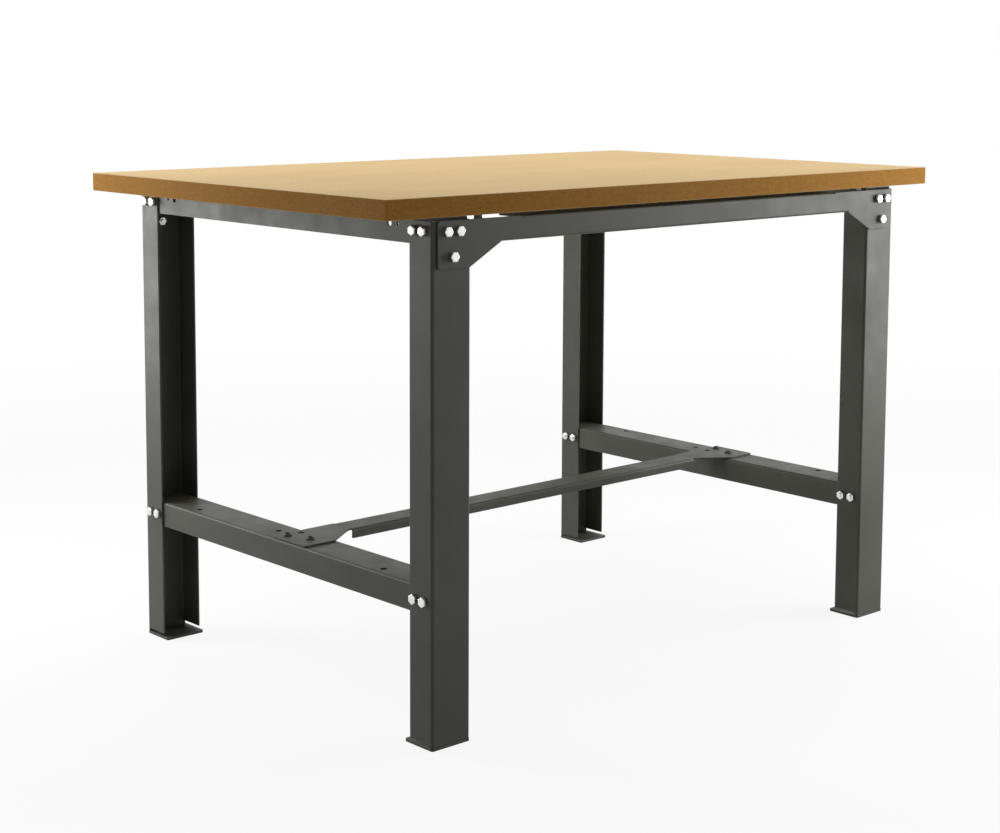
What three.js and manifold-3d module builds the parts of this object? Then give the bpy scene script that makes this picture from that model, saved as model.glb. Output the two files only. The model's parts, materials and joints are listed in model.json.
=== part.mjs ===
// Steel-framed bench with a wood-fibre top. Millimetres, +Z up, front towards -Y.
import * as THREE from 'three';
import { mergeVertices } from 'three/addons/utils/BufferGeometryUtils.js';
import Module from 'manifold-3d';

const wasm = await Module();
wasm.setup();

// Whole bench
const BENCH_WIDTH = 1200;
const BENCH_DEPTH = 750;
const BENCH_HEIGHT = 775;
const SEAT_GAP = 0.3;

// Worktop board
const BOARD_THICK = 28.5;
const BOARD_EDGE = 0.8;

// Folded steel sheet
const SHEET = 2.5;
const BEND = 4;

// Legs: folded channels, web outwards, flanges towards the middle of the bench
const SIDE_OVERHANG = 85;
const FRONT_OVERHANG = 6;
const LEG_WEB = 70;
const LEG_FLANGE = 48;
const LEG_TOP_DROP = 5.3;
const FLANGE_LIFT = 4.5;

// Foot plates
const FOOT_THICK = 4;
const FOOT_WIDTH = 70;
const FOOT_LENGTH = 60.5;
const FOOT_OUTSET = 0.5;
const FOOT_CORNER = 4;

// Upper side rails: channels open downwards with a short inner lip, carrying the board
const TOP_RAIL_HEIGHT = 38;
const TOP_RAIL_LIP = 13;
const RAIL_END_GAP = 2;

// Lower side rails: channels open downwards
const LOW_RAIL_TOP = 231;
const LOW_RAIL_HEIGHT = 40;

// Long beams with corner plates
const BEAM_HEIGHT = 34;
const BEAM_LOWER_FLANGE = 25;
const BEAM_UPPER_FLANGE = 45;
const CORNER_REACH = 123;
const CORNER_INSET = 8;
const CORNER_DROP = 66;
const CORNER_FOOT = 58;
const CORNER_ROUND = 4;
const LUG_SETBACK = 88;
const LUG_WIDTH = 13;
const LUG_REACH = 10;
const UPPER_FLANGE_SETBACK = 160;
const JOIN_OVERLAP = 1;

// Stretcher with ends flared towards the front
const STRETCHER_OFFSET = -10;
const STRETCHER_WIDTH = 48;
const STRETCHER_FLANGE = 15;
const FLANGE_SETBACK = 122;
const TAB_REACH = 60;
const WAIST_SETBACK = 110;
const SHOULDER_SETBACK = 60;
const TAB_END_INSET = 4;

// Fasteners
const BOLT_DIAMETER = 8;
const BOLT_HOLE = 9;
const HEAD_ACROSS = 13;
const HEAD_HEIGHT = 6.5;
const HEAD_CHAMFER = 1.3;
const NUT_CHAMFER = 0.7;
const NUT_HEIGHT = 6.5;
const THREAD_END = 3;
const FLANGE_BOLT_1 = 17;
const FLANGE_BOLT_2 = 38;
const CORNER_BOLT_HALF = 11;
const CORNER_BOLT_PITCH = 35;
const OPEN_HOLE = 11;
const END_HOLE_SETBACK = 131;
const END_HOLE_INSET = 17;
const WEB_HOLES = [[95, 9], [77, 4]];
const WEB_HOLE_DROP = 13.5;
const STRETCHER_BOLT_Y = 41;
const STRETCHER_HOLE_X = 13;
const BUTTON_DIAMETER = 14;
const BUTTON_HEIGHT = 4;
const SOCKET_ACROSS = 5;
const SCREW_DIAMETER = 5;
const SCREW_HOLE = 6;
const SCREW_DEPTH = 20;
const SCREW_HEAD = 10;
const SCREW_HEAD_HEIGHT = 3;
const SCREW_SETBACK = 169;

// Derived levels and planes
const BOARD_UNDER = BENCH_HEIGHT - BOARD_THICK;
const LEG_TOP = BOARD_UNDER - LEG_TOP_DROP;
const LEG_BOTTOM = FOOT_THICK + SEAT_GAP;
const LEG_X = BENCH_WIDTH / 2 - SIDE_OVERHANG;
const LEG_Y = BENCH_DEPTH / 2 - FRONT_OVERHANG;
const LEG_MID_X = LEG_X - LEG_WEB / 2;
const RAIL_WIDTH = LEG_WEB - 2 * SHEET - 2 * SEAT_GAP;
const RAIL_X = LEG_X - SHEET - SEAT_GAP;
const RAIL_HALF = LEG_Y - SHEET - RAIL_END_GAP;
const TOP_RAIL_TOP = BOARD_UNDER - SEAT_GAP;
const TOP_RAIL_MID = TOP_RAIL_TOP - TOP_RAIL_HEIGHT / 2;
const LOW_RAIL_MID = LOW_RAIL_TOP - LOW_RAIL_HEIGHT / 2;
const BEAM_TOP = LEG_TOP;
const BEAM_Y = LEG_Y + SEAT_GAP + SHEET;
const CORNER_BOLT_Z = BEAM_TOP - BEAM_HEIGHT / 2 + 2;
const STRETCHER_TOP = LOW_RAIL_TOP + SEAT_GAP + SHEET;
const RAIL_MID_X = LEG_MID_X;
const SCREW_X = RAIL_MID_X;
const SCREW_Y = LEG_Y - SCREW_SETBACK;
const END_HOLE_Y = LEG_Y - END_HOLE_SETBACK;
const BEAM_FLANGE_END = LEG_X - CORNER_REACH;
const LUG_CENTRE = LEG_X - LUG_SETBACK;
const UPPER_FLANGE_END = LEG_X - UPPER_FLANGE_SETBACK;
const STRETCHER_FLANGE_END = LEG_X - FLANGE_SETBACK;
const TAB_WAIST = LEG_X - WAIST_SETBACK;
const TAB_SHOULDER = LEG_X - SHOULDER_SETBACK;

const AXIS_X = new THREE.Vector3(1, 0, 0);
const AXIS_Y = new THREE.Vector3(0, 1, 0);
const AXIS_Z = new THREE.Vector3(0, 0, 1);

function solid(geometry) {
  const bare = geometry.clone();
  bare.deleteAttribute('normal');
  bare.deleteAttribute('uv');
  const merged = mergeVertices(bare, 1e-4);
  const mesh = new wasm.Mesh({
    numProp: 3,
    vertProperties: Float32Array.from(merged.attributes.position.array),
    triVerts: Uint32Array.from(merged.index.array),
  });
  return new wasm.Manifold(mesh);
}

function geometryOf(body) {
  const mesh = body.getMesh();
  const geometry = new THREE.BufferGeometry();
  geometry.setAttribute('position', new THREE.BufferAttribute(Float32Array.from(mesh.vertProperties), 3));
  geometry.setIndex(new THREE.BufferAttribute(Uint32Array.from(mesh.triVerts), 1));
  const flat = geometry.toNonIndexed();
  flat.computeVertexNormals();
  return flat;
}

// Section of a folded channel: web along u at v = 0, flanges running to +v
function channelSection(width, flangeA, flangeB) {
  const half = width / 2;
  const inner = BEND - SHEET;
  const shape = new THREE.Shape();
  shape.moveTo(-half, flangeA);
  shape.lineTo(-half, BEND);
  shape.absarc(-half + BEND, BEND, BEND, Math.PI, Math.PI * 1.5, false);
  shape.lineTo(half - BEND, 0);
  shape.absarc(half - BEND, BEND, BEND, Math.PI * 1.5, Math.PI * 2, false);
  shape.lineTo(half, flangeB);
  shape.lineTo(half - SHEET, flangeB);
  shape.lineTo(half - SHEET, BEND);
  shape.absarc(half - BEND, BEND, inner, 0, -Math.PI / 2, true);
  shape.lineTo(-half + BEND, SHEET);
  shape.absarc(-half + BEND, BEND, inner, -Math.PI / 2, -Math.PI, true);
  shape.lineTo(-half + SHEET, flangeA);
  shape.closePath();
  return shape;
}

// Extrude a section symmetrically along the third axis of a right-handed basis
function extrudeAlong(shape, length, u, v, centre) {
  const geometry = new THREE.ExtrudeGeometry(shape, { depth: length, bevelEnabled: false, curveSegments: 4 });
  geometry.translate(0, 0, -length / 2);
  const along = new THREE.Vector3().crossVectors(u, v);
  geometry.applyMatrix4(new THREE.Matrix4().makeBasis(u, v, along));
  geometry.translate(centre.x, centre.y, centre.z);
  return solid(geometry);
}

// Flat plate from an outline, thickness along the third axis of the basis
function plate(outline, thickness, u, v, centre) {
  const shape = new THREE.Shape();
  roundedPath(shape, outline);
  return extrudeAlong(shape, thickness, u, v, centre);
}

// Outline points are [u, v, radius]
function roundedPath(shape, points) {
  const count = points.length;
  points.forEach((point, i) => {
    const here = new THREE.Vector2(point[0], point[1]);
    const radius = point[2] || 0;
    if (radius === 0) {
      if (i === 0) shape.moveTo(here.x, here.y);
      else shape.lineTo(here.x, here.y);
      return;
    }
    const before = points[(i + count - 1) % count];
    const after = points[(i + 1) % count];
    const back = new THREE.Vector2(before[0], before[1]).sub(here).normalize();
    const on = new THREE.Vector2(after[0], after[1]).sub(here).normalize();
    const reach = radius / Math.tan(Math.acos(back.dot(on)) / 2);
    const start = here.clone().addScaledVector(back, reach);
    const end = here.clone().addScaledVector(on, reach);
    if (i === 0) shape.moveTo(start.x, start.y);
    else shape.lineTo(start.x, start.y);
    shape.quadraticCurveTo(here.x, here.y, end.x, end.y);
  });
  shape.closePath();
}

function drill(diameter, length, axis, x, y, z) {
  const geometry = new THREE.CylinderGeometry(diameter / 2, diameter / 2, length, 12);
  if (axis === AXIS_X) geometry.rotateZ(Math.PI / 2);
  if (axis === AXIS_Z) geometry.rotateX(Math.PI / 2);
  geometry.translate(x, y, z);
  return solid(geometry);
}

function block(width, depth, height, x, y, z) {
  const geometry = new THREE.BoxGeometry(width, depth, height);
  geometry.translate(x, y, z);
  return solid(geometry);
}

function cutAll(body, cutters) {
  return cutters.reduce((rest, cutter) => rest.subtract(cutter), body);
}

function joinAll(bodies) {
  return bodies.slice(1).reduce((whole, piece) => whole.add(piece), bodies[0]);
}

// Hexagonal prism with chamfered rims, from z = 0 upwards
function hexagon(across, height, chamfer) {
  const radius = across / Math.sqrt(3) - chamfer;
  const shape = new THREE.Shape();
  for (let i = 0; i < 6; i += 1) {
    const angle = (i * Math.PI) / 3;
    const x = radius * Math.cos(angle);
    const y = radius * Math.sin(angle);
    if (i === 0) shape.moveTo(x, y);
    else shape.lineTo(x, y);
  }
  shape.closePath();
  const geometry = new THREE.ExtrudeGeometry(shape, {
    depth: height - 2 * chamfer,
    bevelEnabled: true,
    bevelThickness: chamfer,
    bevelSize: chamfer,
    bevelSegments: 1,
  });
  geometry.translate(0, 0, chamfer);
  return solid(geometry);
}

function shank(diameter, from, to) {
  const geometry = new THREE.CylinderGeometry(diameter / 2, diameter / 2, to - from, 8);
  geometry.rotateX(Math.PI / 2);
  geometry.translate(0, 0, (from + to) / 2);
  return solid(geometry);
}

// Bolt along z: head above z = 0, nut clamping the far side of the grip
function hexBolt(grip) {
  const nutSeat = -grip - SEAT_GAP;
  const head = hexagon(HEAD_ACROSS, HEAD_HEIGHT, HEAD_CHAMFER);
  const nutGeometry = geometryOf(hexagon(HEAD_ACROSS, NUT_HEIGHT, NUT_CHAMFER));
  nutGeometry.translate(0, 0, nutSeat - NUT_HEIGHT);
  const rod = shank(BOLT_DIAMETER, nutSeat - NUT_HEIGHT - THREAD_END, HEAD_HEIGHT / 2);
  return geometryOf(joinAll([head, rod, solid(nutGeometry)]));
}

// Low domed head with a hexagonal socket
function buttonBolt(grip) {
  const nutSeat = -grip - SEAT_GAP;
  const radius = BUTTON_DIAMETER / 2;
  const dome = new THREE.LatheGeometry([
    new THREE.Vector2(0, 0),
    new THREE.Vector2(radius, 0),
    new THREE.Vector2(radius, 0.8),
    new THREE.Vector2(radius * 0.8, BUTTON_HEIGHT * 0.75),
    new THREE.Vector2(radius * 0.5, BUTTON_HEIGHT),
    new THREE.Vector2(0, BUTTON_HEIGHT),
  ], 12);
  dome.rotateX(Math.PI / 2);
  const socketGeometry = geometryOf(hexagon(SOCKET_ACROSS, BUTTON_HEIGHT, NUT_CHAMFER));
  socketGeometry.translate(0, 0, BUTTON_HEIGHT * 0.45);
  const nutGeometry = geometryOf(hexagon(HEAD_ACROSS, NUT_HEIGHT, NUT_CHAMFER));
  nutGeometry.translate(0, 0, nutSeat - NUT_HEIGHT);
  const rod = shank(BOLT_DIAMETER, nutSeat - NUT_HEIGHT - THREAD_END, BUTTON_HEIGHT * 0.3);
  const head = solid(dome).subtract(solid(socketGeometry));
  return geometryOf(joinAll([head, rod, solid(nutGeometry)]));
}

// Pan-head wood screw pointing up from z = 0
function woodScrew() {
  const radius = SCREW_HEAD / 2;
  const thread = SCREW_DIAMETER / 2;
  const profile = [
    new THREE.Vector2(0, -SCREW_HEAD_HEIGHT),
    new THREE.Vector2(radius * 0.7, -SCREW_HEAD_HEIGHT),
    new THREE.Vector2(radius, -SCREW_HEAD_HEIGHT * 0.4),
    new THREE.Vector2(radius, 0),
    new THREE.Vector2(thread, 0),
    new THREE.Vector2(thread, SCREW_DEPTH - 6),
    new THREE.Vector2(0, SCREW_DEPTH - 1),
  ];
  const geometry = new THREE.LatheGeometry(profile, 8);
  geometry.rotateX(Math.PI / 2);
  return geometryOf(solid(geometry));
}

function placed(geometry, outward, x, y, z) {
  const turn = new THREE.Quaternion().setFromUnitVectors(AXIS_Z, outward);
  const copy = geometry.clone();
  copy.applyQuaternion(turn);
  copy.translate(x, y, z);
  return copy;
}

const bench = new THREE.Group();
bench.name = 'bench';

const BOARD_LOOK = { color: 0xc4a679, roughness: 0.62, metalness: 0.0 };
const STEEL_LOOK = { color: 0x55554f, roughness: 0.5, metalness: 0.25 };
const ZINC_LOOK = { color: 0xd9dbd8, roughness: 0.3, metalness: 0.9 };
const BLACK_LOOK = { color: 0x24241f, roughness: 0.45, metalness: 0.5 };

function addPiece(name, geometry, look) {
  const mesh = new THREE.Mesh(geometry, new THREE.MeshStandardMaterial(look));
  mesh.name = name;
  bench.add(mesh);
}

const SIDES = [['left', -1], ['right', 1]];
const ENDS = [['front', -1], ['back', 1]];
const FLANGE_BOLTS = [FLANGE_BOLT_1, FLANGE_BOLT_2];
const CORNER_BOLTS = [
  [-CORNER_BOLT_HALF, CORNER_BOLT_Z],
  [CORNER_BOLT_HALF, CORNER_BOLT_Z],
  [0, CORNER_BOLT_Z - CORNER_BOLT_PITCH],
];

// Bolt and hole places where the stretcher lies on a lower rail
function stretcherBolts(sx) {
  return [
    [sx * (RAIL_MID_X + STRETCHER_HOLE_X), 0],
    [sx * RAIL_MID_X, -STRETCHER_BOLT_Y],
  ];
}

function stretcherHoles(sx) {
  return [[sx * (RAIL_MID_X - STRETCHER_HOLE_X), 0]];
}

// Worktop
const boardShape = new THREE.Shape();
roundedPath(boardShape, [
  [-BENCH_WIDTH / 2 + BOARD_EDGE, -BENCH_DEPTH / 2 + BOARD_EDGE],
  [BENCH_WIDTH / 2 - BOARD_EDGE, -BENCH_DEPTH / 2 + BOARD_EDGE],
  [BENCH_WIDTH / 2 - BOARD_EDGE, BENCH_DEPTH / 2 - BOARD_EDGE],
  [-BENCH_WIDTH / 2 + BOARD_EDGE, BENCH_DEPTH / 2 - BOARD_EDGE],
]);
const boardGeometry = new THREE.ExtrudeGeometry(boardShape, {
  depth: BOARD_THICK - 2 * BOARD_EDGE,
  bevelEnabled: true,
  bevelThickness: BOARD_EDGE,
  bevelSize: BOARD_EDGE,
  bevelSegments: 1,
});
boardGeometry.translate(0, 0, BOARD_UNDER + BOARD_EDGE);
const pilotHoles = [];
for (const [, sx] of SIDES) {
  for (const [, sy] of ENDS) {
    pilotHoles.push(drill(SCREW_HOLE, 2 * SCREW_DEPTH, AXIS_Z, sx * SCREW_X, sy * SCREW_Y, BOARD_UNDER));
  }
}
addPiece('worktop', geometryOf(cutAll(solid(boardGeometry), pilotHoles)), BOARD_LOOK);

// Legs and foot plates
for (const [side, sx] of SIDES) {
  for (const [end, sy] of ENDS) {
    const section = channelSection(LEG_WEB, LEG_FLANGE, LEG_FLANGE);
    const u = AXIS_X.clone().multiplyScalar(-sy);
    const v = AXIS_Y.clone().multiplyScalar(-sy);
    const middle = new THREE.Vector3(sx * LEG_MID_X, sy * LEG_Y, (LEG_TOP + LEG_BOTTOM) / 2);
    const channel = extrudeAlong(section, LEG_TOP - LEG_BOTTOM, u, v, middle);
    const cutters = [];
    for (const offset of FLANGE_BOLTS) {
      const y = sy * (LEG_Y - offset);
      cutters.push(drill(BOLT_HOLE, 4 * SHEET, AXIS_X, sx * LEG_X, y, TOP_RAIL_MID));
      cutters.push(drill(BOLT_HOLE, 2 * LEG_WEB, AXIS_X, sx * LEG_MID_X, y, LOW_RAIL_MID));
    }
    for (const [dx, z] of CORNER_BOLTS) {
      cutters.push(drill(BOLT_HOLE, 4 * SHEET, AXIS_Y, sx * LEG_MID_X + dx, sy * LEG_Y, z));
    }
    const trimDepth = LEG_FLANGE - BEND + 10;
    const trimY = sy * (LEG_Y - BEND - trimDepth / 2);
    const trimHeight = 2 * FLANGE_LIFT;
    cutters.push(block(LEG_WEB + 10, trimDepth, trimHeight, sx * LEG_MID_X, trimY, LEG_BOTTOM));
    addPiece(`leg_${end}_${side}`, geometryOf(cutAll(channel, cutters)), STEEL_LOOK);

    const footMiddle = new THREE.Vector3(
      sx * LEG_MID_X,
      sy * (LEG_Y + FOOT_OUTSET - FOOT_LENGTH / 2),
      FOOT_THICK / 2,
    );
    const foot = plate([
      [-FOOT_WIDTH / 2, -FOOT_LENGTH / 2, FOOT_CORNER],
      [FOOT_WIDTH / 2, -FOOT_LENGTH / 2, FOOT_CORNER],
      [FOOT_WIDTH / 2, FOOT_LENGTH / 2, FOOT_CORNER],
      [-FOOT_WIDTH / 2, FOOT_LENGTH / 2, FOOT_CORNER],
    ], FOOT_THICK, AXIS_X, AXIS_Y, footMiddle);
    addPiece(`foot_plate_${end}_${side}`, geometryOf(foot), STEEL_LOOK);
  }
}

// Upper side rails
for (const [side, sx] of SIDES) {
  const leftFlange = sx < 0 ? TOP_RAIL_HEIGHT : TOP_RAIL_LIP;
  const rightFlange = sx < 0 ? TOP_RAIL_LIP : TOP_RAIL_HEIGHT;
  const section = channelSection(RAIL_WIDTH, leftFlange, rightFlange);
  const down = AXIS_Z.clone().negate();
  const middle = new THREE.Vector3(sx * RAIL_MID_X, 0, TOP_RAIL_TOP);
  const rail = extrudeAlong(section, 2 * RAIL_HALF, AXIS_X, down, middle);
  const cutters = [];
  for (const [, sy] of ENDS) {
    for (const offset of FLANGE_BOLTS) {
      cutters.push(drill(BOLT_HOLE, 4 * SHEET, AXIS_X, sx * RAIL_X, sy * (LEG_Y - offset), TOP_RAIL_MID));
    }
    for (const [setback, diameter] of WEB_HOLES) {
      const y = sy * (LEG_Y - setback);
      cutters.push(drill(diameter, 4 * SHEET, AXIS_X, sx * RAIL_X, y, BOARD_UNDER - WEB_HOLE_DROP));
    }
    cutters.push(drill(SCREW_HOLE, 4 * SHEET, AXIS_Z, sx * SCREW_X, sy * SCREW_Y, TOP_RAIL_TOP));
  }
  addPiece(`top_rail_${side}`, geometryOf(cutAll(rail, cutters)), STEEL_LOOK);
}

// Lower side rails
for (const [side, sx] of SIDES) {
  const section = channelSection(RAIL_WIDTH, LOW_RAIL_HEIGHT, LOW_RAIL_HEIGHT);
  const down = AXIS_Z.clone().negate();
  const middle = new THREE.Vector3(sx * RAIL_MID_X, 0, LOW_RAIL_TOP);
  const rail = extrudeAlong(section, 2 * RAIL_HALF, AXIS_X, down, middle);
  const cutters = [];
  const endHoleX = sx * (RAIL_X - END_HOLE_INSET);
  for (const [, sy] of ENDS) {
    for (const offset of FLANGE_BOLTS) {
      const y = sy * (LEG_Y - offset);
      cutters.push(drill(BOLT_HOLE, 2 * LEG_WEB, AXIS_X, sx * RAIL_MID_X, y, LOW_RAIL_MID));
    }
    cutters.push(drill(OPEN_HOLE, 4 * SHEET, AXIS_Z, endHoleX, sy * END_HOLE_Y, LOW_RAIL_TOP));
  }
  const backHole = [sx * RAIL_MID_X, STRETCHER_BOLT_Y];
  for (const [x, y] of [...stretcherHoles(sx), backHole]) {
    cutters.push(drill(OPEN_HOLE, 4 * SHEET, AXIS_Z, x, y, LOW_RAIL_TOP));
  }
  for (const [x, y] of stretcherBolts(sx)) {
    cutters.push(drill(BOLT_HOLE, 4 * SHEET, AXIS_Z, x, y, LOW_RAIL_TOP));
  }
  addPiece(`low_rail_${side}`, geometryOf(cutAll(rail, cutters)), STEEL_LOOK);
}

// Long beams: channel in the middle, flat corner plates over the leg webs
for (const [end, sy] of ENDS) {
  const inward = AXIS_Y.clone().multiplyScalar(-sy);
  const section = channelSection(BEAM_HEIGHT, BEAM_LOWER_FLANGE, BEAM_UPPER_FLANGE);
  const beamMiddle = new THREE.Vector3(0, sy * BEAM_Y, BEAM_TOP - BEAM_HEIGHT / 2);
  const channel = extrudeAlong(section, 2 * BEAM_FLANGE_END, AXIS_Z, inward, beamMiddle);
  const flangeCut = [
    [SHEET, BEAM_TOP - 2 * BEND],
    [2 * BEAM_UPPER_FLANGE, BEAM_TOP - 2 * BEND],
    [2 * BEAM_UPPER_FLANGE, BEAM_TOP + SHEET],
    [SHEET, BEAM_TOP + SHEET],
  ];
  const lug = [
    [SHEET / 2, BEAM_TOP - SHEET],
    [LUG_REACH, BEAM_TOP - SHEET],
    [LUG_REACH, BOARD_UNDER - SEAT_GAP],
    [LUG_REACH - SHEET, BOARD_UNDER - SEAT_GAP],
    [LUG_REACH - SHEET, BEAM_TOP],
    [SHEET / 2, BEAM_TOP],
  ];
  const cutLength = 2 * (BEAM_FLANGE_END - UPPER_FLANGE_END);
  const flangeCutters = SIDES.map(([, sx]) => {
    const middle = new THREE.Vector3(sx * BEAM_FLANGE_END, sy * BEAM_Y, 0);
    return plate(flangeCut, cutLength, inward, AXIS_Z, middle);
  });
  const pieces = [cutAll(channel, flangeCutters)];
  const outer = LEG_X - CORNER_INSET;
  const foot = outer - CORNER_FOOT;
  const inner = BEAM_FLANGE_END - JOIN_OVERLAP;
  const upperInner = UPPER_FLANGE_END - JOIN_OVERLAP;
  for (const [, sx] of SIDES) {
    const outline = [
      [inner, BEAM_TOP - BEAM_HEIGHT],
      [foot, BEAM_TOP - CORNER_DROP],
      [outer, BEAM_TOP - CORNER_DROP, CORNER_ROUND],
      [outer, BEAM_TOP, CORNER_ROUND],
      [upperInner, BEAM_TOP],
      [upperInner, BEAM_TOP - BEAM_HEIGHT / 2],
      [inner, BEAM_TOP - BEAM_HEIGHT / 2],
    ];
    const u = AXIS_X.clone().multiplyScalar(sx);
    const plateMiddle = new THREE.Vector3(0, sy * (BEAM_Y - SHEET / 2), 0);
    pieces.push(plate(outline, SHEET, u, AXIS_Z, plateMiddle));
    const lugMiddle = new THREE.Vector3(sx * LUG_CENTRE, sy * BEAM_Y, 0);
    pieces.push(plate(lug, LUG_WIDTH, inward, AXIS_Z, lugMiddle));
  }
  const cutters = [];
  for (const [, sx] of SIDES) {
    for (const [dx, z] of CORNER_BOLTS) {
      cutters.push(drill(BOLT_HOLE, 4 * SHEET, AXIS_Y, sx * LEG_MID_X + dx, sy * BEAM_Y, z));
    }
  }
  addPiece(`${end}_beam`, geometryOf(cutAll(joinAll(pieces), cutters)), STEEL_LOOK);
}

// Stretcher
const stretcherDown = AXIS_Z.clone().negate();
const stretcherSection = channelSection(STRETCHER_WIDTH, STRETCHER_FLANGE, STRETCHER_FLANGE);
const stretcherMiddle = new THREE.Vector3(0, STRETCHER_OFFSET, STRETCHER_TOP);
const stretcherPieces = [
  extrudeAlong(stretcherSection, 2 * STRETCHER_FLANGE_END, AXIS_Y, stretcherDown, stretcherMiddle),
];
const stretcherCutters = [];
for (const [, sx] of SIDES) {
  const start = STRETCHER_FLANGE_END - 1;
  const neck = STRETCHER_WIDTH / 2 - BEND;
  const half = STRETCHER_WIDTH / 2;
  const tabEnd = LEG_X - TAB_END_INSET;
  const outline = [
    [start, -neck],
    [start + BEND, -neck],
    [TAB_WAIST, -half],
    [TAB_SHOULDER, -TAB_REACH],
    [tabEnd, -TAB_REACH, CORNER_ROUND],
    [tabEnd, half, CORNER_ROUND],
    [start + BEND, half],
    [start, neck],
  ];
  const u = AXIS_X.clone().multiplyScalar(sx);
  const v = AXIS_Y.clone().multiplyScalar(sx);
  const handed = outline.map(([x, y, radius]) => [x, sx * y, radius]);
  const tabMiddle = new THREE.Vector3(0, STRETCHER_OFFSET, STRETCHER_TOP - SHEET / 2);
  stretcherPieces.push(plate(handed, SHEET, u, v, tabMiddle));
  for (const [x, y] of stretcherHoles(sx)) {
    stretcherCutters.push(drill(OPEN_HOLE, 4 * SHEET, AXIS_Z, x, y, STRETCHER_TOP));
  }
  for (const [x, y] of stretcherBolts(sx)) {
    stretcherCutters.push(drill(BOLT_HOLE, 4 * SHEET, AXIS_Z, x, y, STRETCHER_TOP));
  }
}
addPiece('stretcher', geometryOf(cutAll(joinAll(stretcherPieces), stretcherCutters)), STEEL_LOOK);

// Bolts
const sheetPair = 2 * SHEET + SEAT_GAP;
const cornerBolt = hexBolt(sheetPair + SEAT_GAP);
const topRailBolt = hexBolt(sheetPair + SEAT_GAP);
const lowRailBolt = hexBolt(LEG_WEB + SEAT_GAP);
const stretcherBolt = buttonBolt(sheetPair + SEAT_GAP);
const boardScrew = woodScrew();

for (const [side, sx] of SIDES) {
  const outX = AXIS_X.clone().multiplyScalar(sx);
  for (const [end, sy] of ENDS) {
    const outY = AXIS_Y.clone().multiplyScalar(sy);
    CORNER_BOLTS.forEach(([dx, z], i) => {
      const bolt = placed(cornerBolt, outY, sx * LEG_MID_X + dx, sy * (BEAM_Y + SEAT_GAP), z);
      addPiece(`corner_bolt_${end}_${side}_${i + 1}`, bolt, ZINC_LOOK);
    });
    FLANGE_BOLTS.forEach((offset, i) => {
      const y = sy * (LEG_Y - offset);
      const x = sx * (LEG_X + SEAT_GAP);
      const upper = placed(topRailBolt, outX, x, y, TOP_RAIL_MID);
      const lower = placed(lowRailBolt, outX, x, y, LOW_RAIL_MID);
      addPiece(`top_rail_bolt_${end}_${side}_${i + 1}`, upper, ZINC_LOOK);
      addPiece(`low_rail_bolt_${end}_${side}_${i + 1}`, lower, ZINC_LOOK);
    });
    const screwSeat = TOP_RAIL_TOP - SHEET - SEAT_GAP;
    addPiece(
      `worktop_screw_${end}_${side}`,
      placed(boardScrew, AXIS_Z, sx * SCREW_X, sy * SCREW_Y, screwSeat),
      ZINC_LOOK,
    );
  }
  stretcherBolts(sx).forEach(([x, y], i) => {
    const bolt = placed(stretcherBolt, AXIS_Z, x, y, STRETCHER_TOP + SEAT_GAP);
    addPiece(`stretcher_bolt_${side}_${i + 1}`, bolt, BLACK_LOOK);
  });
}

export default bench;
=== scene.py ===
import json
import math

import bpy
from mathutils import Matrix, Vector

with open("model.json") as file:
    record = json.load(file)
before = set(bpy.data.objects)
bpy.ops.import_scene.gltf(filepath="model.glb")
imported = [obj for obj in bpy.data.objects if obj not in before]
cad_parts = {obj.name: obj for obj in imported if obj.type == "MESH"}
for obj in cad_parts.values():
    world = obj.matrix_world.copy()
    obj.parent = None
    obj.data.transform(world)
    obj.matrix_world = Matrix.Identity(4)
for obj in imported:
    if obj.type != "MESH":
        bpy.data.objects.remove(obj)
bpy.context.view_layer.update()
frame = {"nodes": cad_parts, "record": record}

SCENE = bpy.context.scene
NODES = frame["nodes"]

# Camera: metres, degrees, and a focal length in pixels of the picture
CAM_PLACE = (-2.1596, -2.3209, 0.9633)
CAM_HEADING = 42.18
CAM_DIP = 6.32
CAM_ROLL = 0.23
CAM_FOCAL_PX = 1897.4
CAM_SHIFT_Y = -0.15
CAM_CLIP_END = 50.0
IMAGE_WIDTH_PX = 1000.0
SENSOR_MM = 36.0

# Materials. Colours are linear, and tones are the colour stops of a ramp.
# A noise is (cycles per metre, detail, roughness), before any stretch along the axes.
# A range is (from low, from high, to low, to high), and a relief is (strength, metres).
EDGE_SAMPLES = 6
OPAQUE = 1.0
METAL, NOT_METAL = 1.0, 0.0

# Powder-coated steel
STEEL_EDGE_RADIUS = 0.0012
STEEL_CLOUD = (7.0, 4.0, 0.55)
STEEL_TONES = [(0.3, (0.068, 0.071, 0.056)), (0.7, (0.088, 0.091, 0.074))]
STEEL_SPECK = (1500.0, 2.0, 0.6)
STEEL_SPECK_RANGE = (0.6, 0.75, 0.0, 0.25)
STEEL_SPECK_COLOUR = (0.14, 0.14, 0.13)
STEEL_RUB = (55.0, 5.0, 0.65)
STEEL_RUB_RANGE = (0.42, 0.62, 0.1, 0.75)
STEEL_WORN_COSINES = (0.80, 0.995)
STEEL_WORN_COLOUR = (0.20, 0.20, 0.19)
STEEL_GLOSS = (24.0, 4.0, 0.5)
STEEL_GLOSS_RANGE = (0.3, 0.7, 0.40, 0.52)
STEEL_PEEL = (620.0, 3.0, 0.5)
STEEL_PEEL_RELIEF = (0.12, 0.0004)
STEEL_SPECULAR = 0.2

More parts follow.
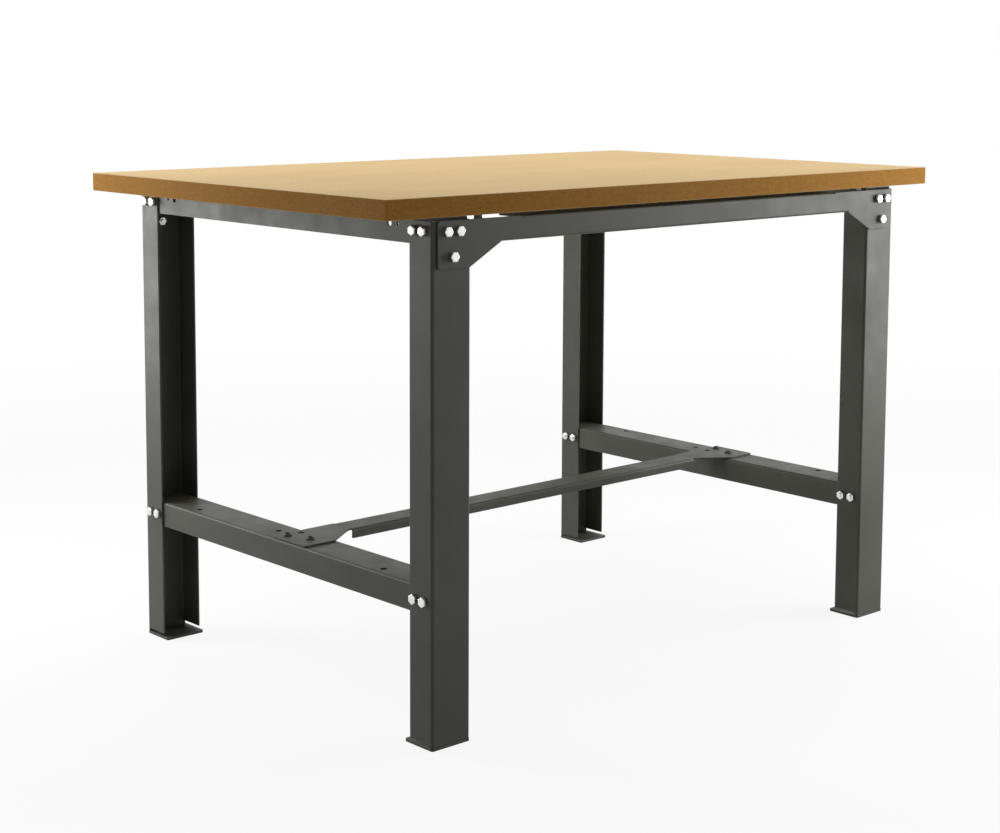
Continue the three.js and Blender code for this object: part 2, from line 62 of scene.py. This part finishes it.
# Wood-fibre board: pressed face and sawn edge
BOARD_EDGE_RADIUS = 0.0010
BOARD_CLOUD_STRETCH = (1.0, 2.4, 1.0)
BOARD_CLOUD = (3.2, 5.0, 0.55)
FACE_TONES = [(0.32, (0.535, 0.390, 0.200)), (0.68, (0.610, 0.460, 0.256))]
FIBRE_STRETCH = (60.0, 900.0, 60.0)
FIBRE = (1.0, 4.0, 0.6)
FIBRE_RANGE = (0.35, 0.7, 0.0, 0.22)
FIBRE_COLOUR = (0.42, 0.285, 0.115)
GRAIN = (230.0, 4.0, 0.65)
GRAIN_RANGE = (0.36, 0.66, 0.0, 0.42)
GRAIN_COLOUR = (0.41, 0.275, 0.125)
FLECK_STRETCH = (500.0, 950.0, 500.0)
FLECK = (1.0, 2.0, 0.5)
FLECK_RANGE = (0.64, 0.74, 0.0, 0.30)
FLECK_COLOUR = (0.27, 0.165, 0.06)
LAYER_STRETCH = (70.0, 70.0, 330.0)
LAYER = (1.0, 5.0, 0.65)
CORE_TONES = [(0.3, (0.320, 0.148, 0.024)), (0.7, (0.395, 0.192, 0.040))]
CHIP = (310.0, 4.0, 0.65)
CHIP_RANGE = (0.46, 0.66, 0.0, 0.48)
CHIP_COLOUR = (0.21, 0.090, 0.014)
FLAT_RANGE = (0.55, 0.8, 0.0, 1.0)
BOARD_GLOSS_RANGE = (0.3, 0.7, 0.62, 0.74)
BOARD_RELIEF = (0.10, 0.0004)
BOARD_SPECULAR = 0.04

# Zinc-plated bolts
ZINC_EDGE_RADIUS = 0.0006
ZINC_CLOUD = (180.0, 4.0, 0.6)
ZINC_TONES = [(0.3, (0.62, 0.63, 0.615)), (0.7, (0.82, 0.83, 0.82))]
ZINC_GLOSS = (420.0, 3.0, 0.5)
ZINC_GLOSS_RANGE = (0.3, 0.7, 0.22, 0.38)
ZINC_PIT_STRETCH = (900.0, 900.0, 900.0)
ZINC_PIT = (1.0, 2.0, 0.5)
ZINC_RELIEF = (0.05, 0.0002)
ZINC_SPECULAR = 0.5

# Black oxide on the stretcher's bolts
OXIDE_EDGE_RADIUS = 0.0006
OXIDE_CLOUD = (220.0, 4.0, 0.6)
OXIDE_TONES = [(0.3, (0.012, 0.012, 0.011)), (0.7, (0.030, 0.030, 0.028))]
OXIDE_GLOSS = (500.0, 3.0, 0.5)
OXIDE_GLOSS_RANGE = (0.3, 0.7, 0.38, 0.52)
OXIDE_PIT = (1200.0, 2.0, 0.5)
OXIDE_RELIEF = (0.06, 0.0002)
OXIDE_SPECULAR = 0.4

# Studio: metres and watts
WHITE = (1.0, 1.0, 1.0, OPAQUE)
FLOOR_SIZE = 80.0
FLOOR_DROP = 0.0006
FLOOR_GREY = (0.68, 0.68, 0.68, OPAQUE)
FLOOR_WHITE_NEAR = 0.90
FLOOR_WHITE_FAR = 1.0
FLOOR_FADE = (1.0, 3.2)
AMBIENT = 0.10
BACKDROP = 1.0
# Each softbox: name, place, aim, size, watts
SOFTBOXES = [
    ("overhead", (0.4, 0.55, 2.7), (0.0, 0.1, 0.7), (2.4, 1.8), 60.0),
    ("right_front", (1.45, -1.00, 0.80), (0.55, -0.35, 0.40), (0.7, 1.2), 25.0),
    ("left_back", (-1.05, 1.08, 0.82), (-0.5, 0.35, 0.46), (0.5, 1.2), 17.0),
]

# Sockets of the colour mix node
MIX_SHARE, MIX_A, MIX_B, MIX_RESULT = 0, 6, 7, 2


class Graph:
    """Writes one node tree."""

    def __init__(self, tree, out_kind):
        self.tree = tree
        self.tree.nodes.clear()
        self.out = self.node(out_kind)

    def node(self, kind, **values):
        made = self.tree.nodes.new(kind)
        for key, value in values.items():
            setattr(made, key, value)
        return made

    def link(self, source, target):
        self.tree.links.new(source, target)

    def place(self):
        return self.node("ShaderNodeTexCoord").outputs["Object"]

    def scaled(self, vector, scale):
        mapping = self.node("ShaderNodeMapping")
        mapping.inputs["Scale"].default_value = scale
        self.link(vector, mapping.inputs["Vector"])
        return mapping.outputs["Vector"]

    def noise(self, vector, pattern):
        made = self.node("ShaderNodeTexNoise")
        for socket, value in zip(("Scale", "Detail", "Roughness"), pattern):
            made.inputs[socket].default_value = value
        self.link(vector, made.inputs["Vector"])
        return made.outputs["Fac"]

    def ramp(self, value, stops):
        made = self.node("ShaderNodeValToRGB")
        for element, (at, colour) in zip(made.color_ramp.elements, stops):
            element.position = at
            element.color = (*colour, OPAQUE)
        self.link(value, made.inputs["Fac"])
        return made.outputs["Color"]

    def spread(self, value, limits):
        made = self.node("ShaderNodeMapRange")
        for socket, limit in zip(("From Min", "From Max", "To Min", "To Max"), limits):
            made.inputs[socket].default_value = limit
        self.link(value, made.inputs["Value"])
        return made.outputs["Result"]

    def math(self, operation, *values):
        made = self.node("ShaderNodeMath", operation=operation)
        for socket, value in zip(made.inputs, values):
            self.link(value, socket)
        return made.outputs[0]

    def mix(self, share, base, colour):
        made = self.node("ShaderNodeMix", data_type="RGBA")
        self.link(share, made.inputs[MIX_SHARE])
        self.link(base, made.inputs[MIX_A])
        if isinstance(colour, tuple):
            made.inputs[MIX_B].default_value = (*colour, OPAQUE)
        else:
            self.link(colour, made.inputs[MIX_B])
        return made.outputs[MIX_RESULT]

    def soft_edges(self, radius):
        made = self.node("ShaderNodeBevel", samples=EDGE_SAMPLES)
        made.inputs["Radius"].default_value = radius
        return made.outputs["Normal"]

    def edge_mask(self, rounded, cosines):
        low, high = cosines
        dot = self.node("ShaderNodeVectorMath", operation="DOT_PRODUCT")
        self.link(rounded, dot.inputs[0])
        self.link(self.true_normal(), dot.inputs[1])
        return self.spread(dot.outputs["Value"], (high, low, 0.0, 1.0))

    def true_normal(self):
        return self.node("ShaderNodeNewGeometry").outputs["True Normal"]

    def bump(self, height, relief, normal):
        made = self.node("ShaderNodeBump")
        for socket, value in zip(("Strength", "Distance"), relief):
            made.inputs[socket].default_value = value
        self.link(height, made.inputs["Height"])
        self.link(normal, made.inputs["Normal"])
        return made.outputs["Normal"]

    def surface(self, colour, roughness, normal, metallic, specular):
        made = self.node("ShaderNodeBsdfPrincipled")
        self.link(colour, made.inputs["Base Color"])
        self.link(roughness, made.inputs["Roughness"])
        self.link(normal, made.inputs["Normal"])
        made.inputs["Metallic"].default_value = metallic
        made.inputs["Specular IOR Level"].default_value = specular
        self.link(made.outputs[0], self.out.inputs["Surface"])

    def seen_directly(self):
        """1 for rays from the camera and for mirror or glass rays, else 0."""
        path = self.node("ShaderNodeLightPath")
        camera, glossy = path.outputs["Is Camera Ray"], path.outputs["Is Glossy Ray"]
        either = self.math("MAXIMUM", camera, glossy)
        return self.math("MAXIMUM", either, path.outputs["Is Transmission Ray"])


def new_material(name):
    material = bpy.data.materials.new(name)
    material.use_nodes = True
    return material, Graph(material.node_tree, "ShaderNodeOutputMaterial")


def powder_coat():
    material, g = new_material("powder_coat")
    at = g.place()
    rounded = g.soft_edges(STEEL_EDGE_RADIUS)
    base = g.ramp(g.noise(at, STEEL_CLOUD), STEEL_TONES)
    speck = g.spread(g.noise(at, STEEL_SPECK), STEEL_SPECK_RANGE)
    base = g.mix(speck, base, STEEL_SPECK_COLOUR)
    rub = g.spread(g.noise(at, STEEL_RUB), STEEL_RUB_RANGE)
    worn = g.math("MULTIPLY", g.edge_mask(rounded, STEEL_WORN_COSINES), rub)
    base = g.mix(worn, base, STEEL_WORN_COLOUR)
    rough = g.spread(g.noise(at, STEEL_GLOSS), STEEL_GLOSS_RANGE)
    normal = g.bump(g.noise(at, STEEL_PEEL), STEEL_PEEL_RELIEF, rounded)
    g.surface(base, rough, normal, NOT_METAL, STEEL_SPECULAR)
    return material


def fibre_board():
    material, g = new_material("fibre_board")
    at = g.place()
    rounded = g.soft_edges(BOARD_EDGE_RADIUS)
    # Pressed face: pale tan with long faint clouds, short fibres, grain and tiny dark flecks
    cloud = g.noise(g.scaled(at, BOARD_CLOUD_STRETCH), BOARD_CLOUD)
    face = g.ramp(cloud, FACE_TONES)
    fibre = g.noise(g.scaled(at, FIBRE_STRETCH), FIBRE)
    face = g.mix(g.spread(fibre, FIBRE_RANGE), face, FIBRE_COLOUR)
    face = g.mix(g.spread(g.noise(at, GRAIN), GRAIN_RANGE), face, GRAIN_COLOUR)
    fleck = g.noise(g.scaled(at, FLECK_STRETCH), FLECK)
    face = g.mix(g.spread(fleck, FLECK_RANGE), face, FLECK_COLOUR)
    # Sawn edge: darker core, mottled by layers and chips
    core = g.ramp(g.noise(g.scaled(at, LAYER_STRETCH), LAYER), CORE_TONES)
    chip = g.noise(at, CHIP)
    core = g.mix(g.spread(chip, CHIP_RANGE), core, CHIP_COLOUR)
    # Level faces show the pressed face, upright ones the core
    axes = g.node("ShaderNodeSeparateXYZ")
    g.link(g.true_normal(), axes.inputs[0])
    flat = g.spread(g.math("ABSOLUTE", axes.outputs["Z"]), FLAT_RANGE)
    rough = g.spread(cloud, BOARD_GLOSS_RANGE)
    normal = g.bump(g.math("ADD", fibre, chip), BOARD_RELIEF, rounded)
    g.surface(g.mix(flat, core, face), rough, normal, NOT_METAL, BOARD_SPECULAR)
    return material


def zinc_plate():
    material, g = new_material("zinc_plate")
    at = g.place()
    rounded = g.soft_edges(ZINC_EDGE_RADIUS)
    colour = g.ramp(g.noise(at, ZINC_CLOUD), ZINC_TONES)
    rough = g.spread(g.noise(at, ZINC_GLOSS), ZINC_GLOSS_RANGE)
    pits = g.noise(g.scaled(at, ZINC_PIT_STRETCH), ZINC_PIT)
    g.surface(colour, rough, g.bump(pits, ZINC_RELIEF, rounded), METAL, ZINC_SPECULAR)
    return material


def black_oxide():
    material, g = new_material("black_oxide")
    at = g.place()
    rounded = g.soft_edges(OXIDE_EDGE_RADIUS)
    colour = g.ramp(g.noise(at, OXIDE_CLOUD), OXIDE_TONES)
    rough = g.spread(g.noise(at, OXIDE_GLOSS), OXIDE_GLOSS_RANGE)
    normal = g.bump(g.noise(at, OXIDE_PIT), OXIDE_RELIEF, rounded)
    g.surface(colour, rough, normal, NOT_METAL, OXIDE_SPECULAR)
    return material


def dress_frame():
    looks = {
        "board": fibre_board(),
        "steel": powder_coat(),
        "zinc": zinc_plate(),
        "dark_steel": black_oxide(),
    }
    for entry in frame["record"]["subparts"]:
        item = NODES[entry["node"]]
        item.data.materials.clear()
        item.data.materials.append(looks[entry["material_slot"]])


def add_camera():
    heading, dip, roll = (math.radians(angle) for angle in (CAM_HEADING, CAM_DIP, CAM_ROLL))
    level = math.cos(dip)
    ahead = Vector((math.sin(heading) * level, math.cos(heading) * level, -math.sin(dip)))
    right = Vector((math.cos(heading), -math.sin(heading), 0.0))
    up = right.cross(ahead)
    rolled_right = right * math.cos(roll) + up * math.sin(roll)
    rolled_up = up * math.cos(roll) - right * math.sin(roll)
    data = bpy.data.cameras.new("camera")
    data.sensor_fit = "HORIZONTAL"
    data.sensor_width = SENSOR_MM
    data.lens = CAM_FOCAL_PX * SENSOR_MM / IMAGE_WIDTH_PX
    data.shift_y = CAM_SHIFT_Y
    data.clip_end = CAM_CLIP_END
    camera = bpy.data.objects.new("camera", data)
    turn = Matrix((rolled_right, rolled_up, -ahead)).transposed().to_4x4()
    camera.matrix_world = Matrix.Translation(CAM_PLACE) @ turn
    SCENE.collection.objects.link(camera)
    SCENE.camera = camera


def add_floor():
    half = FLOOR_SIZE / 2
    mesh = bpy.data.meshes.new("floor")
    corners = [(-half, -half, -FLOOR_DROP), (half, -half, -FLOOR_DROP)]
    corners += [(half, half, -FLOOR_DROP), (-half, half, -FLOOR_DROP)]
    mesh.from_pydata(corners, [], [(0, 1, 2, 3)])
    floor = bpy.data.objects.new("floor", mesh)
    SCENE.collection.objects.link(floor)
    material, g = new_material("floor_paper")
    matt = g.node("ShaderNodeBsdfDiffuse")
    matt.inputs["Color"].default_value = FLOOR_GREY
    glow = g.node("ShaderNodeEmission")
    glow.inputs["Color"].default_value = WHITE
    glow.inputs["Strength"].default_value = BACKDROP
    # The floor fades to the backdrop's white away from the bench, and keeps its shadow near it
    reach = g.node("ShaderNodeVectorMath", operation="LENGTH")
    g.link(g.node("ShaderNodeNewGeometry").outputs["Position"], reach.inputs[0])
    fade = (*FLOOR_FADE, FLOOR_WHITE_NEAR, FLOOR_WHITE_FAR)
    white = g.spread(reach.outputs["Value"], fade)
    blend = g.node("ShaderNodeMixShader")
    g.link(g.math("MULTIPLY", g.seen_directly(), white), blend.inputs[0])
    g.link(matt.outputs[0], blend.inputs[1])
    g.link(glow.outputs[0], blend.inputs[2])
    g.link(blend.outputs[0], g.out.inputs["Surface"])
    mesh.materials.append(material)


def add_world():
    world = bpy.data.worlds.new("studio")
    SCENE.world = world
    world.use_nodes = True
    g = Graph(world.node_tree, "ShaderNodeOutputWorld")
    sky = g.node("ShaderNodeBackground")
    sky.inputs["Color"].default_value = WHITE
    strength = g.spread(g.seen_directly(), (0.0, 1.0, AMBIENT, BACKDROP))
    g.link(strength, sky.inputs["Strength"])
    g.link(sky.outputs[0], g.out.inputs["Surface"])


def add_softbox(name, place, aim, size, watts):
    data = bpy.data.lights.new(name, "AREA")
    data.shape = "RECTANGLE"
    data.size, data.size_y = size
    data.energy = watts
    lamp = bpy.data.objects.new(name, data)
    lamp.location = place
    lamp.rotation_euler = (Vector(aim) - Vector(place)).to_track_quat("-Z", "Y").to_euler()
    lamp.visible_camera = False
    SCENE.collection.objects.link(lamp)


add_camera()
add_world()
for softbox in SOFTBOXES:
    add_softbox(*softbox)
add_floor()
dress_frame()

SCENE.view_settings.view_transform = "Standard"
